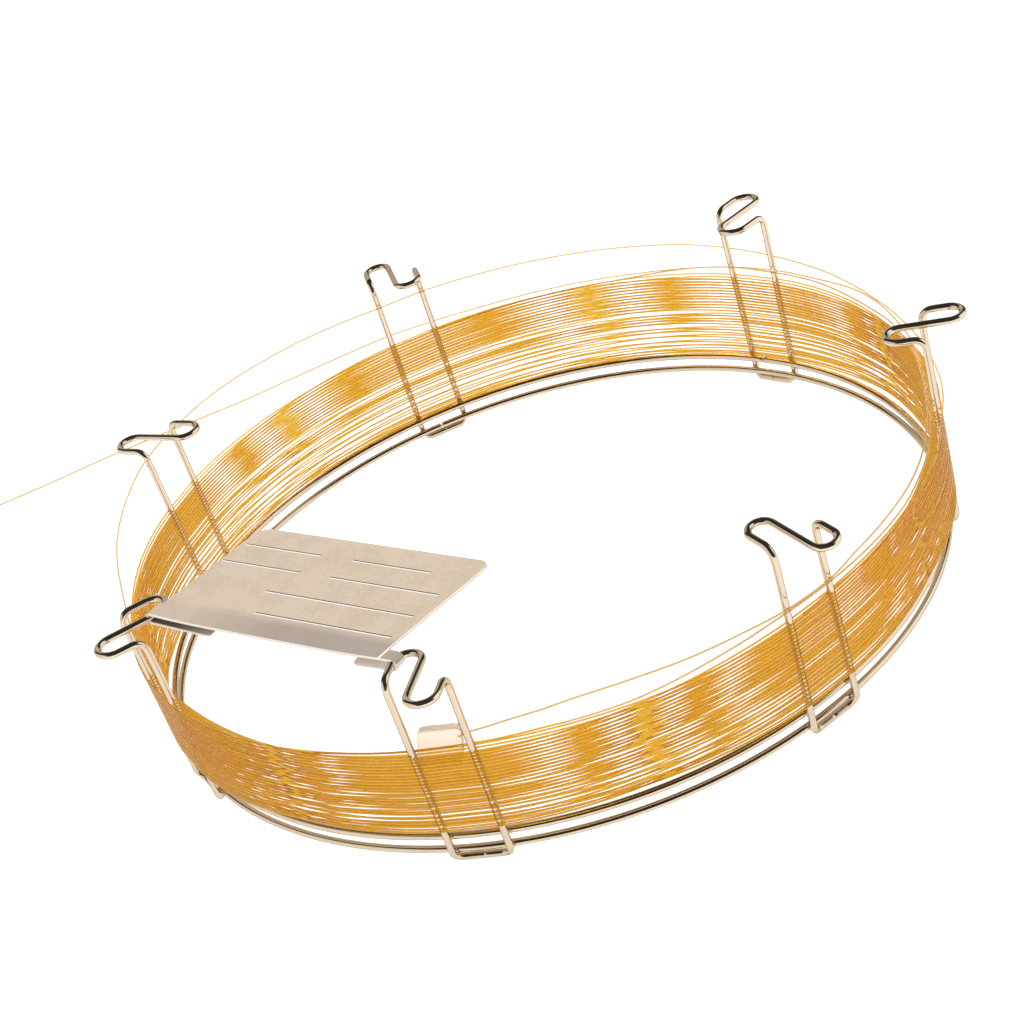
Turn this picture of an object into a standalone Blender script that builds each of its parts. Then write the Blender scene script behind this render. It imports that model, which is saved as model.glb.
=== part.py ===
"""A capillary column for gas chromatography: fine coated tubing woven in and out of a cage of bent wire.

The cage is two open hoops and seven clips, each one bent wire that ends in an S-shaped hook. A tag hangs on two hooks.
Every turn of the tubing passes outside one clip and inside the next. The turns that are outside at a clip are given as
one wavy ring and those that are inside as another; between two clips the rings come together.
Units are metres and +Z is up. Points are given about the cage's own upright axis; the origin is under the middle of
the clips' outline, level with the underside of their feet.
"""

from math import ceil, cos, degrees, pi, radians, sin

import bmesh
import bpy
from mathutils import Vector

MM = 0.001

# Steel wire of the cage
WIRE = 1.5 * MM
CLEARANCE = 0.3 * MM  # between pieces that touch or are welded in the real cage
WIRE_BEND = 2.0 * MM  # radius of a sharp bend, at the wire's middle

# Clips
CLIP_ANGLES = (-14.0, 40.5, 99.0, 148.5, 201.5, 251.0, 299.5)  # degrees, uneven as on the real cage
LEG_CIRCLE = 89.0 * MM  # radius on which the legs stand
LEG_SPACING = 11.6 * MM  # between a clip's two legs
HOOK_HEIGHT = 44.0 * MM  # from the feet's underside to the middle of the hook's wire
HOOK_REACH = 5.7 * MM  # straight part of the hook, each way from the leg circle
FOOT_GAP = 0.4 * MM  # between the two ends of a clip's wire
FOOT_INSET = 0.9 * MM  # how far the feet stand inside the leg circle

# Hoops
HOOP_SPACING = 3.3 * MM  # from the lower hoop's middle to the upper one's
HOOP_GAP = 1.1 * MM  # between a hoop's two ends
LOWER_GAP_ANGLE = 99.4  # each gap lies above the feet of a clip
UPPER_GAP_ANGLE = 41.5

# Woven tubing
TUBING = 0.38 * MM  # outer diameter
INNER_LAYER_HEIGHT = 20.5 * MM
OUTER_LAYER_HEIGHT = 19.5 * MM
OUTER_LAYER_RISE = 1.0 * MM  # how much higher the outer layer begins
LAYER_RIDGES = 12  # one for every two turns of a layer
RIDGE_DEPTH = 0.15 * MM

# Tag of thin sheet on the hooks of two neighbouring clips
TAG_CLIPS = (4, 5)
TAG_THICKNESS = 0.5 * MM
TAG_INSET = 10.8 * MM  # from the leg circle in to the tag's outer edge
TAG_DEPTH = 30.8 * MM  # from that edge to the inner one
TAG_CORNER = 3.0 * MM
TAG_TAPER = 5.0 * MM  # how much shorter the inner edge is at the first clip's end
TAB_WIDTH = (3.8 * MM, 2.8 * MM)
TAB_RETURN = (14.5 * MM, 9.0 * MM)  # length of each tab that lies back under the tag

# Soft block in which the front end of the tubing is sealed
SEAL_CLIP = 5
SEAL_THICKNESS = 2.6 * MM
SEAL_WIDTH = 9.0 * MM
SEAL_HEIGHT = 8.5 * MM
SEAL_TOP = 31.4 * MM
SEAL_ROUNDING = 0.7 * MM
SEAL_GAP = 0.6 * MM  # from the inner layer

# Fineness of the round surfaces
BEND_STEPS = 3
LOOP_STEPS = 8
HOOP_STEPS = 60
SPAN_STEPS = 6  # of a layer from one clip to the next
STRAND_STEP = 6.0 * MM
STRAND_SAMPLES = 16  # between two stations of a strand, before it is divided evenly
WIRE_SAMPLES = 8  # between two points of a hook, where the tag's folds are measured from it

# Loose strands: (angle in degrees, past 360 where one goes on round, distance outwards from the leg circle in mm,
# height in mm)
RISEN_TURN = (
    (-28, 1.5, 28.1), (-14, 1.6, 28.3), (-5, 1.8, 28.3), (3, 2.1, 28.4), (12, 2.5, 28.7), (18, 2.8, 29.2),
    (22, 2.9, 29.9), (28, 3.1, 30.8), (36, 3.2, 31.8), (43, 3.1, 32.9), (50, 2.8, 34.0), (57, 2.3, 34.8),
    (66, 1.5, 35.7), (74, 0.8, 36.4), (82, -0.1, 37.3), (90, -0.9, 38.1), (96, -1.4, 38.6), (103, -1.3, 38.8),
    (110, -0.2, 39.2), (118, 1.6, 39.4), (126, 3.2, 39.4), (133, 4.2, 39.4), (139, 4.5, 39.2), (146, 4.3, 39.2),
    (152, 3.9, 38.9), (158, 3.2, 38.0), (163, 2.8, 36.8), (167.5, 2.7, 34.8), (171, 2.6, 31.9), (174, 2.5, 28.0),
    (176.5, 2.3, 25.2), (180, 2.0, 23.0),
)
FREE_END = (
    (266, -0.5, 28.0), (270, -0.3, 28.0), (275, 0, 28.2), (281, 0.4, 29.0), (288, 0.9, 30.0), (293, 1.2, 30.6),
    (299.5, 1.4, 30.7), (306, 1.2, 30.3), (313, 0.8, 29.6), (320, 0.4, 28.9), (326, 0, 28.8), (331, -0.4, 28.5),
    (337, -0.9, 28.3), (342, -1.4, 28.9), (350, -1.4, 29.9), (358, -0.8, 30.6), (364, -0.4, 30.9),
    (371, 0, 31.4), (377, 0.3, 31.3), (382, 0.6, 30.6), (388, 0.9, 29.8), (396, 1.4, 29.4), (405, 1.4, 29.1),
    (415, 1.1, 28.7), (427, 1.0, 28.3), (438, 1.2, 28.2), (448, 1.4, 28.3), (455, 1.4, 28.9), (461, 1.5, 29.5),
    (466, 1.7, 29.9), (472, 2.2, 30.2), (479, 4.2, 30.5), (486, 7.3, 30.9), (492, 11.8, 31.5),
    (498, 17.9, 32.3), (504.6, 26.9, 33.1), (509, 34.5, 33.5), (513.5, 45.1, 34.0),
)
SEALED_END = (
    (254.4, -2.9, 28.9), (257, -2.2, 29.9), (260, -1.2, 31.2), (264, 0.2, 32.6), (268, 1, 33.6),
    (275, 2.2, 34.2), (282, 3, 34.0), (289, 3, 33.4), (295, 2.7, 32.4), (302, 1.7, 31.4), (308, 0, 30.6),
    (315, -1.2, 29.3), (323, -1.4, 28.6), (330, -1.4, 28.5), (337, -1.6, 29.0), (344, -1.7, 30.1),
    (352, -1.7, 30.9), (360, -1.6, 30.8), (370, -1.2, 30.2), (386, -1.3, 30.7), (400, -1.4, 30.7),
    (408, -1.2, 30.4), (416, -1.2, 29.4), (425, -1.2, 28.3),
)

# Worked out from the sizes above
FOOT_HEIGHT = WIRE / 2
LOWER_HOOP_HEIGHT = FOOT_HEIGHT + WIRE + CLEARANCE
UPPER_HOOP_HEIGHT = LOWER_HOOP_HEIGHT + HOOP_SPACING
HOOP_RADIUS = LEG_CIRCLE - WIRE - CLEARANCE
LOOP_RADIUS = LEG_SPACING / 4
INNER_LAYER_BOTTOM = UPPER_HOOP_HEIGHT + WIRE / 2 + CLEARANCE
OUTER_LAYER_BOTTOM = INNER_LAYER_BOTTOM + OUTER_LAYER_RISE
INNER_LAYER_RADIUS = LEG_CIRCLE - WIRE / 2 - CLEARANCE  # its outside at a clip
OUTER_LAYER_RADIUS = LEG_CIRCLE + WIRE / 2 + CLEARANCE  # its inside at a clip
LAYERS_MEET = (LEG_CIRCLE - CLEARANCE / 2, LEG_CIRCLE + CLEARANCE / 2)  # the same two radii half way between clips
CLIP_HALF = degrees((LEG_SPACING / 2 + WIRE / 2 + CLEARANCE) / LEG_CIRCLE)  # beyond it a layer turns inwards or outwards
TAG_OUTER_EDGE = LEG_CIRCLE - TAG_INSET


def polar(angle, radius, height=0.0):
    """A point about the cage's axis, from an angle in degrees."""
    return Vector((radius * cos(radians(angle)), radius * sin(radians(angle)), height))


def quarter():
    """Angles from 0 to a quarter turn, for a bend."""
    return [pi / 2 * step / BEND_STEPS for step in range(BEND_STEPS + 1)]


def material(name, colour, roughness, metallic):
    made = bpy.data.materials.new(name)
    made.use_nodes = True
    shader = made.node_tree.nodes["Principled BSDF"]
    shader.inputs["Base Color"].default_value = (*colour, 1.0)
    shader.inputs["Roughness"].default_value = roughness
    shader.inputs["Metallic"].default_value = metallic
    return made


def place(obj, finish):
    obj.data.materials.append(finish)
    obj.parent = bpy.data.objects["cage_axis"]
    bpy.context.scene.collection.objects.link(obj)
    return obj


def tube(name, points, diameter, finish):
    """A round bar along the points, with closed ends."""
    curve = bpy.data.curves.new(name, "CURVE")
    curve.dimensions = "3D"
    curve.bevel_depth = diameter / 2
    curve.bevel_resolution = 2
    curve.use_fill_caps = True
    spline = curve.splines.new("POLY")
    spline.points.add(len(points) - 1)
    for made, point in zip(spline.points, points):
        made.co = (*point, 1.0)
    return place(bpy.data.objects.new(name, curve), finish)


def solid(name, mesh, finish, smooth_below=radians(30)):
    """The object of a finished bmesh, its faces turned outwards."""
    bmesh.ops.recalc_face_normals(mesh, faces=mesh.faces)
    data = bpy.data.meshes.new(name)
    mesh.to_mesh(data)
    mesh.free()
    data.shade_smooth()
    data.set_sharp_from_angle(angle=smooth_below)
    return place(bpy.data.objects.new(name, data), finish)


def clip_wire():
    """One clip's wire as (outward from the leg circle, along it, up), from the end of one foot to the end of the other."""
    half = LEG_SPACING / 2
    foot = [(-FOOT_INSET, -FOOT_GAP / 2, FOOT_HEIGHT)]
    for turn in quarter():
        outward = -FOOT_INSET * cos(turn) ** 2
        foot.append((outward, -half + WIRE_BEND * (1 - sin(turn)), FOOT_HEIGHT + WIRE_BEND * (1 - cos(turn))))
    top = [
        (WIRE_BEND * (cos(turn) - 1), -half, HOOK_HEIGHT + WIRE_BEND * (sin(turn) - 1))
        for turn in quarter()
    ]
    inner_loop = [
        (-HOOK_REACH - LOOP_RADIUS * sin(turn), -LOOP_RADIUS * (1 + cos(turn)), HOOK_HEIGHT)
        for turn in (pi * step / LOOP_STEPS for step in range(LOOP_STEPS + 1))
    ]
    first_half = foot + top + inner_loop
    # The second half is the first turned half round about the clip's middle, except for the feet, which both lie inside.
    second_half = [(-outward, -along, up) for outward, along, up in reversed(top + inner_loop)]
    second_half += [(outward, -along, up) for outward, along, up in reversed(foot)]
    return first_half + second_half


def clip_point(angle, outward, along, up):
    """A point given in a clip's own directions, about the cage's axis."""
    return polar(angle, LEG_CIRCLE + outward, up) + polar(angle + 90, along)


def make_clip(number, steel):
    angle = CLIP_ANGLES[number]
    points = [clip_point(angle, *point) for point in clip_wire()]
    return tube(f"clip_{number + 1}", points, WIRE, steel)


def make_hoop(name, height, gap_angle, steel):
    gap = degrees(HOOP_GAP / HOOP_RADIUS)
    start = gap_angle + gap / 2
    span = 360 - gap
    points = [polar(start + span * step / HOOP_STEPS, HOOP_RADIUS, height) for step in range(HOOP_STEPS + 1)]
    return tube(name, points, WIRE, steel)


def layer_profile(bottom, height, ridges_outside):
    """Outline of a layer across its turns, as (outwards from the layer's near side, height), with its ridges."""
    crest, trough, plain = (TUBING, TUBING - RIDGE_DEPTH, 0) if ridges_outside else (0, RIDGE_DEPTH, TUBING)
    ridged = []
    for ridge in range(LAYER_RIDGES):
        ridged.append((trough, bottom + height * ridge / LAYER_RIDGES))
        ridged.append((crest, bottom + height * (ridge + 0.5) / LAYER_RIDGES))
    ridged.append((trough, bottom + height))
    return ridged + [(plain, bottom + height), (plain, bottom)]


def layer_course(at_clip, midway):
    """A layer's course seen from above, as (angle, radius): flat past each clip's legs, and half a sine wave between."""
    corner = at_clip / cos(radians(CLIP_HALF))
    course = []
    for angle, following in zip(CLIP_ANGLES, CLIP_ANGLES[1:] + (CLIP_ANGLES[0] + 360,)):
        start, span = angle + CLIP_HALF, following - angle - 2 * CLIP_HALF
        for step in range(SPAN_STEPS + 1):
            share = abs(cos(pi * step / SPAN_STEPS))
            course.append((start + span * step / SPAN_STEPS, midway + (corner - midway) * share))
    return course


def make_layer(name, course, profile, finish):
    """A layer as one closed ring: the profile carried along the course."""
    mesh = bmesh.new()
    rings = [[mesh.verts.new(polar(angle, radius + out, height)) for out, height in profile] for angle, radius in course]
    for this, following in zip(rings, rings[1:] + rings[:1]):
        for index in range(len(profile)):
            after = (index + 1) % len(profile)
            mesh.faces.new((this[index], following[index], following[after], this[after]))
    return solid(name, mesh, finish)


def make_layers(coating):
    inner_course = layer_course(INNER_LAYER_RADIUS - TUBING, LAYERS_MEET[0] - TUBING)
    outer_course = layer_course(OUTER_LAYER_RADIUS, LAYERS_MEET[1])
    make_layer("inner_layer", inner_course, layer_profile(INNER_LAYER_BOTTOM, INNER_LAYER_HEIGHT, False), coating)
    make_layer("outer_layer", outer_course, layer_profile(OUTER_LAYER_BOTTOM, OUTER_LAYER_HEIGHT, True), coating)


def smooth_route(stations, step):
    """Points at even steps along a Catmull-Rom curve through the stations."""
    knots = [polar(angle, LEG_CIRCLE + outward * MM, height * MM) for angle, outward, height in stations]
    knots = [2 * knots[0] - knots[1]] + knots + [2 * knots[-1] - knots[-2]]
    fine = []
    for before, start, end, after in zip(knots, knots[1:], knots[2:], knots[3:]):
        for part in range(STRAND_SAMPLES):
            t = part / STRAND_SAMPLES
            fine.append(
                0.5 * (2 * start + (end - before) * t + (2 * before - 5 * start + 4 * end - after) * t**2
                       + (3 * start - 3 * end + after - before) * t**3)
            )
    fine.append(knots[-2])
    lengths = [0.0]
    for start, end in zip(fine, fine[1:]):
        lengths.append(lengths[-1] + (end - start).length)
    count = ceil(lengths[-1] / step)
    points, index = [fine[0]], 0
    for number in range(1, count):
        wanted = lengths[-1] * number / count
        while lengths[index + 1] < wanted:
            index += 1
        share = (wanted - lengths[index]) / (lengths[index + 1] - lengths[index])
        points.append(fine[index].lerp(fine[index + 1], share))
    return points + [fine[-1]]


def tag_outline(middle, hooks):
    """The flat part of the tag seen from above, anticlockwise, and where its two folds begin.

    Points are (along the circle, outwards) from the cage's axis; hooks holds each fold's place along the circle.
    """
    first_fold, second_fold = hooks
    outer, inner = TAG_OUTER_EDGE, TAG_OUTER_EDGE - TAG_DEPTH
    corner = TAG_CORNER
    neck = first_fold + corner  # the first tab stands out past the rest of that end
    outline = [(first_fold, outer - TAB_WIDTH[0]), (first_fold, outer), (second_fold, outer),
               (second_fold, outer - TAB_WIDTH[1])]
    for turn in quarter():
        outline.append((second_fold - corner * (1 - cos(turn)), inner + corner * (1 - sin(turn))))
    for turn in quarter():
        outline.append((neck + TAG_TAPER + corner * (1 - sin(turn)), inner + corner * (1 - cos(turn))))
    outline.append((neck, outer - TAB_WIDTH[0] - corner))
    return [polar(middle, outwards) + polar(middle + 90, along) for along, outwards in outline]


def make_tag(sheet):
    """The tag: a flat sheet on top of the hooks, with a tab at each end folded under the hook's wire."""
    first, second = (CLIP_ANGLES[number] for number in TAG_CLIPS)
    middle = (first + second) / 2
    radius = WIRE / 2 + CLEARANCE  # inside of each fold
    underside = HOOK_HEIGHT + radius
    along = polar(middle + 90, 1)
    outline = tag_outline(middle, fold_places(middle, first, second))
    mesh = bmesh.new()
    lower = [mesh.verts.new(point + Vector((0, 0, underside))) for point in outline]
    upper = [mesh.verts.new(point + Vector((0, 0, underside + TAG_THICKNESS))) for point in outline]
    mesh.faces.new(lower)
    mesh.faces.new(upper)
    folds = {0: (-along, TAB_RETURN[0]), 2: (along, TAB_RETURN[1])}  # the outline's edges from which the tabs go on
    for index in range(len(outline)):
        after = (index + 1) % len(outline)
        edge = (lower[index], lower[after], upper[after], upper[index])
        if index not in folds:
            mesh.faces.new(edge)
            continue
        direction, length = folds[index]
        start = edge
        stations = [(radius * sin(turn), radius * (cos(turn) - 1), sin(turn), cos(turn)) for turn in half_turn()]
        stations.append((-length, -2 * radius, 0.0, -1.0))
        for forward, drop, out, up in stations:
            inside = [outline[i] + direction * forward + Vector((0, 0, underside + drop)) for i in (index, after)]
            offset = (direction * out + Vector((0, 0, up))) * TAG_THICKNESS
            corners = (inside[0], inside[1], inside[1] + offset, inside[0] + offset)
            end = tuple(mesh.verts.new(point) for point in corners)
            for side in range(4):
                mesh.faces.new((start[side], start[(side + 1) % 4], end[(side + 1) % 4], end[side]))
            start = end
        mesh.faces.new(start)
    return solid("tag", mesh, sheet)


def half_turn():
    """Angles from just past 0 to a half turn, for the folds."""
    return [pi * step / LOOP_STEPS for step in range(1, LOOP_STEPS + 1)]


def fold_places(middle, first, second):
    """How far along the circle each fold lies, so that it passes round its clip's wire with the clearance."""
    across = polar(middle, 1)
    along = polar(middle + 90, 1)
    places = []
    for angle, width, side in ((first, TAB_WIDTH[0], -1), (second, TAB_WIDTH[1], 1)):
        loop = [clip_point(angle, *point) for point in clip_wire()[2 * BEND_STEPS + 3:-2 * BEND_STEPS - 3]]
        fine = [
            start.lerp(end, part / WIRE_SAMPLES) for start, end in zip(loop, loop[1:]) for part in range(WIRE_SAMPLES)
        ]
        near = TAG_OUTER_EDGE - width - WIRE / 2
        band = [point @ along for point in fine if near < point @ across < TAG_OUTER_EDGE + WIRE / 2]
        reach = [place for place in band if abs(place - nearest(band, side)) < LOOP_RADIUS]
        places.append(side * max(side * place for place in reach))
    return places


def nearest(places, side):
    """The place that a fold coming from the tag's middle meets first."""
    return side * min(side * place for place in places)


def make_seal(rubber):
    mesh = bmesh.new()
    bmesh.ops.create_cube(mesh, size=1.0)
    bmesh.ops.scale(mesh, vec=(SEAL_THICKNESS, SEAL_WIDTH, SEAL_HEIGHT), verts=mesh.verts)
    bmesh.ops.bevel(
        mesh, geom=mesh.edges, offset=SEAL_ROUNDING, offset_type="OFFSET", segments=2, profile=0.5, affect="EDGES"
    )
    block = solid("end_seal", mesh, rubber)
    radius = INNER_LAYER_RADIUS - TUBING - SEAL_GAP - SEAL_THICKNESS / 2
    block.location = polar(CLIP_ANGLES[SEAL_CLIP], radius, SEAL_TOP - SEAL_HEIGHT / 2)
    block.rotation_euler.z = radians(CLIP_ANGLES[SEAL_CLIP])
    return block


def cage_middle():
    """The middle of the clips' outline seen from above, from the cage's axis."""
    points = [clip_point(angle, *point) for angle in CLIP_ANGLES for point in clip_wire()]
    return Vector([(min(p[axis] for p in points) + max(p[axis] for p in points)) / 2 for axis in (0, 1)] + [0.0])


def main():
    for obj in list(bpy.data.objects):
        bpy.data.objects.remove(obj, do_unlink=True)
    axis = bpy.data.objects.new("cage_axis", None)
    bpy.context.scene.collection.objects.link(axis)
    axis.location = -cage_middle()

    steel = material("polished_steel", (0.72, 0.68, 0.62), 0.18, 1.0)
    coating = material("amber_coating", (0.78, 0.46, 0.10), 0.30, 0.0)
    sheet = material("tag_sheet", (0.72, 0.63, 0.51), 0.38, 0.6)
    rubber = material("pale_rubber", (0.94, 0.80, 0.66), 0.60, 0.0)

    make_hoop("lower_hoop", LOWER_HOOP_HEIGHT, LOWER_GAP_ANGLE, steel)
    make_hoop("upper_hoop", UPPER_HOOP_HEIGHT, UPPER_GAP_ANGLE, steel)
    for number in range(len(CLIP_ANGLES)):
        make_clip(number, steel)
    make_layers(coating)
    tube("risen_turn", smooth_route(RISEN_TURN, STRAND_STEP), TUBING, coating)
    tube("free_end", smooth_route(FREE_END, STRAND_STEP), TUBING, coating)
    tube("sealed_end", smooth_route(SEALED_END, STRAND_STEP), TUBING, coating)
    make_tag(sheet)
    make_seal(rubber)


main()
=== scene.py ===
"""The looks of a capillary column for gas chromatography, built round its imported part.

Fine tubing is woven in and out of the seven clips of a wire cage, and a tag hangs on two of the clips' hooks.
Sizes here are in millimetres, and points are given about the cage's own upright axis, at heights above the feet.
"""

from math import radians

import bmesh
import bpy
import numpy as np
from mathutils import Matrix


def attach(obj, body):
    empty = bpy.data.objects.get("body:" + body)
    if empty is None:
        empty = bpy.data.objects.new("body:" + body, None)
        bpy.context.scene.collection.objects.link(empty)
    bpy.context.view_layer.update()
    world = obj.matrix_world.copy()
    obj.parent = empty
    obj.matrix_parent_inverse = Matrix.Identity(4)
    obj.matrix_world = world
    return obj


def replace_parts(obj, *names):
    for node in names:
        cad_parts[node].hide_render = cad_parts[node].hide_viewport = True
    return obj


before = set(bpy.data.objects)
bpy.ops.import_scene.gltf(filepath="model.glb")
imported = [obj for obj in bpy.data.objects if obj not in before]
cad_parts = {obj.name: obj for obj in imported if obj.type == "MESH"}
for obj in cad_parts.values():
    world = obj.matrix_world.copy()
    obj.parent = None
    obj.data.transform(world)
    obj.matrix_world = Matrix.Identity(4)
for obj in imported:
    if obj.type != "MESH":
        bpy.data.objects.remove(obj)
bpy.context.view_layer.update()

MM = 0.001
CAGE_AXIS = np.array([-2.755, -1.283, 0.0])  # where the cage's axis stands in the part's frame
SEED = 7

# Cage wire
WIRE = 1.5
WIRE_SIDES = 16
WIRE_BEND = 2.0
LEG_CIRCLE = 89.0
LEG_SPACING = 11.6
FOOT_GAP = 0.4
FOOT_INSET = 0.9
FOOT_HEIGHT = 0.75
HOOP_RADIUS = 87.75
HOOP_GAP = 1.0
LOWER_HOOP = (2.45, 99.4)  # height, and the angle of its gap in degrees
UPPER_HOOP = (5.85, 41.5)
# Each clip: angle in degrees, height of its hook, reach inwards and outwards, rise of the hook for each millimetre
# outwards, turn of the hook in degrees, and half the width between its legs at the top
CLIPS = (
    (-13.9, 44.6, 4.5, 5.2, -0.052, -2.0, 6.0),
    (40.2, 44.2, 6.3, 5.6, -0.057, -1.1, 6.4),
    (98.9, 44.6, 5.8, 5.6, -0.008, -4.7, 5.7),
    (148.8, 43.8, 6.0, 4.9, 0.047, -1.4, 6.0),
    (201.8, 43.7, 5.5, 4.9, 0.018, -3.3, 6.7),
    (251.0, 44.4, 5.8, 5.0, 0.046, -2.3, 5.9),
    (299.2, 43.7, 5.5, 5.1, -0.104, -4.1, 5.2),
)
HOOK_REGION = 3.0  # below a hook over which its turn and its rise set in
WELD_BEAD = (0.55, 0.95, 0.62)  # half its size outwards, along the circle and up
WELD_INSET = 0.72  # of a bead's middle from the leg circle

# Woven tubing
TUBING = 0.38
TUBING_SIDES = 8
WOUND = 0.42  # the turns are drawn a little wider than the tubing, so that they cover as much floor as in the photo
WOUND_SIDES = 6
WEAVE = 0.97  # how far a turn passes outside or inside of the leg circle
WEAVE_SCATTER = 0.07  # scatter of that halfway between two clips
WEAVE_STEPS = 19  # points of the line between two clips
LOWEST_TURN = 8.25
TURN_RISE = 0.385
# Turns that lie close together, from the lowest bunch up, and how far each bunch hangs down at the back of the cage
BUNCHES = ((6, 2.4), (3, 1.95), (2, 1.5), (4, 1.1), (8, 0.5))
BUNCH_RISE = 0.365
BUNCH_GAP = 0.3
TURNS = 48
UNEVEN = ((0, 20, 27), (0.055, 0.045, 0.018))  # scatter of the turns' heights, from the lowest turns to the highest
ABOVE_HOOP = 6.85  # lowest height of a turn that passes inside a clip, where it rests on the upper hoop
BACK = (-25, 15, 150, 205)  # angles between which the lower bunches begin to hang down, are down, and end

STRAND_STEP = 1.5  # between the points of a loose strand's line
# Loose strands: (angle in degrees, past 360 where one goes on round, distance outwards from the leg circle, height)
RISEN_TURN = (
    (-28, 1.5, 28.1), (-14, 1.6, 28.3), (-5, 1.8, 28.3), (3, 2.1, 28.4), (12, 2.5, 28.7), (18, 2.8, 29.2),
    (22, 2.9, 29.9), (28, 3.1, 30.8), (36, 3.2, 31.8), (43, 3.1, 32.9), (50, 2.8, 34.0), (57, 2.3, 34.8),
    (66, 1.5, 35.7), (74, 0.8, 36.4), (82, -0.1, 37.3), (90, -0.9, 38.1), (96, -1.4, 38.6), (103, -1.3, 38.8),
    (110, -0.2, 39.2), (118, 1.6, 39.4), (126, 3.2, 39.4), (133, 4.2, 39.4), (139, 4.5, 39.2), (146, 4.3, 39.2),
    (152, 3.9, 38.9), (158, 3.2, 38.0), (163, 2.8, 36.8), (167.5, 2.7, 34.8), (171, 2.6, 31.9), (174, 2.5, 28.0),
    (176.5, 2.3, 25.2), (180, 2.0, 23.0),
)
FREE_END = (
    (266, -0.5, 28.0), (270, -0.3, 28.0), (275, 0, 28.2), (281, 0.4, 29.0), (288, 0.9, 30.0), (293, 1.2, 30.6),
    (299.5, 1.4, 30.7), (306, 1.2, 30.3), (313, 0.8, 29.6), (320, 0.4, 28.9), (326, 0, 28.8), (331, -0.4, 28.5),
    (337, -0.9, 28.3), (342, -1.4, 28.9), (350, -1.4, 29.9), (358, -0.8, 30.6), (364, -0.4, 30.9),
    (371, 0, 31.4), (377, 0.3, 31.3), (382, 0.6, 30.6), (388, 0.9, 29.8), (396, 1.4, 29.4), (405, 1.4, 29.1),
    (415, 1.1, 28.7), (427, 1.0, 28.3), (438, 1.2, 28.2), (448, 1.4, 28.3), (455, 1.4, 28.9), (461, 1.5, 29.5),
    (466, 1.7, 29.9), (472, 2.2, 30.2), (479, 4.2, 30.5), (486, 7.3, 30.9), (492, 11.8, 31.5),
    (498, 17.9, 32.3), (504.6, 26.9, 33.1), (509, 34.5, 33.5), (513.5, 45.1, 34.0),
)
SEALED_END = (
    (254.4, -2.9, 28.9), (257, -2.2, 29.9), (260, -1.2, 31.2), (264, 0.2, 32.6), (268, 1, 33.6),
    (275, 2.2, 34.2), (282, 3, 34.0), (289, 3, 33.4), (295, 2.7, 32.4), (302, 1.7, 31.4), (308, 0, 30.6),
    (315, -1.2, 29.3), (323, -1.4, 28.6), (330, -1.4, 28.5), (337, -1.6, 29.0), (344, -1.7, 30.1),
    (352, -1.7, 30.9), (360, -1.6, 30.8), (370, -1.2, 30.2), (386, -1.3, 30.7), (400, -1.4, 30.7),
    (408, -1.2, 30.4), (416, -1.2, 29.4), (425, -1.2, 28.3),
)
# Where each loose strand goes on among the woven turns: stations as above, ending next to the strand's own end
TAILS = (
    ((-62, 0.3, 27.3), (-50, 0.5, 27.5), (-40, 1.0, 27.8), (-28, 1.5, 28.1)),
    ((180, 2.0, 23.0), (184, 1.5, 21.4), (189, 0.8, 20.3), (195, 0.2, 19.8), (203, -0.3, 19.6)),
    ((232, 0.2, 27.4), (244, -0.7, 27.5), (256, -0.9, 27.7), (266, -0.5, 28.0)),
    ((425, -1.2, 28.3), (433, -0.8, 27.8), (445, -0.3, 27.4), (456, 0.2, 27.2)),
    ((252.9, -3.2, 28.2), (253.6, -3.05, 28.5), (254.4, -2.9, 28.9)),
)

# Tag, given in its own directions: along the circle from the middle between its two clips, outwards, and up
TAG_ANGLE = 226.25
TAG_TOP = 45.3
TAG_SHEET = 0.4
TAG_INNER = 46.9
TAG_OUTER = 77.9
TAG_CORNER = 3.0
# Each end of the tag along the circle, at a distance outwards, and how far it shifts for each millimetre further out
TAG_LEFT = (-29.4, 50.0, -0.16)
TAG_RIGHT = (31.2, 50.5, -0.165)
TAG_SAG = 0.6  # of the outer strip's edge between the hooks
TAG_SAG_MIDDLE, TAG_SAG_HALF = -2.0, 31.0  # its middle along the circle, and how far it reaches to each side
TAG_FOLDS = (-33.9, 29.4)
TAG_BEND = 1.25  # of a tab round its hook, to the sheet's middle
TAG_TABS = ((73.9, 77.9, 15.5), (75.1, 77.9, 10.1))  # each tab from one distance outwards to another, and its return
TAB_ROUNDING = 1.1  # how much shorter a tab's return is at its two corners
TAB_SLOPE = 0.04  # of a tab's return, away from the sheet
BELOW_SHEET = 1.3  # under the tag's top, where only the folds and the tabs' returns lie
EDGE_HIGHLIGHT_WIDTH = 0.22  # width that the painted highlight along a cut edge is drawn at
RULES = (  # grooves for writing: distance outwards, and where each runs along the circle
    (52.5, (-28.4, -7.6)), (52.5, (0.7, 20.8)), (58.4, (-30, -8.6)), (58.4, (-0.6, 27.0)),
    (65.3, (-12, 26.0)), (71.8, (-9.3, 25.4)),
)
SEAL_ANGLE = 251.0
SEAL_MIDDLE = (85.67, -1.3, 26.75)  # distance from the cage's axis, along the circle and height
SEAL_HALF = (1.1, 4.47, 3.85)
SEAL_LEAN = (0.26, -0.035)  # shift along the circle for each millimetre up, and up for each along
SEAL_POWER = 0.28  # 1 would be an ellipsoid, and 0 a box

# Soft boxes and reflectors that a gloss sees: azimuth and elevation in degrees, half its width in degrees, strength
SOFTBOXES = ((0, 14, 30, 1.15), (98, 6, 34, 0.62), (188, -4, 42, 0.85))
SOFTBOX_EDGE = 5  # half the width in degrees over which a soft box fades
HORIZON = (-0.02, 0.05)  # a direction's height where the white floor's far end begins to darken, and where it has
DARK_ROOM = 0.03
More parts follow.
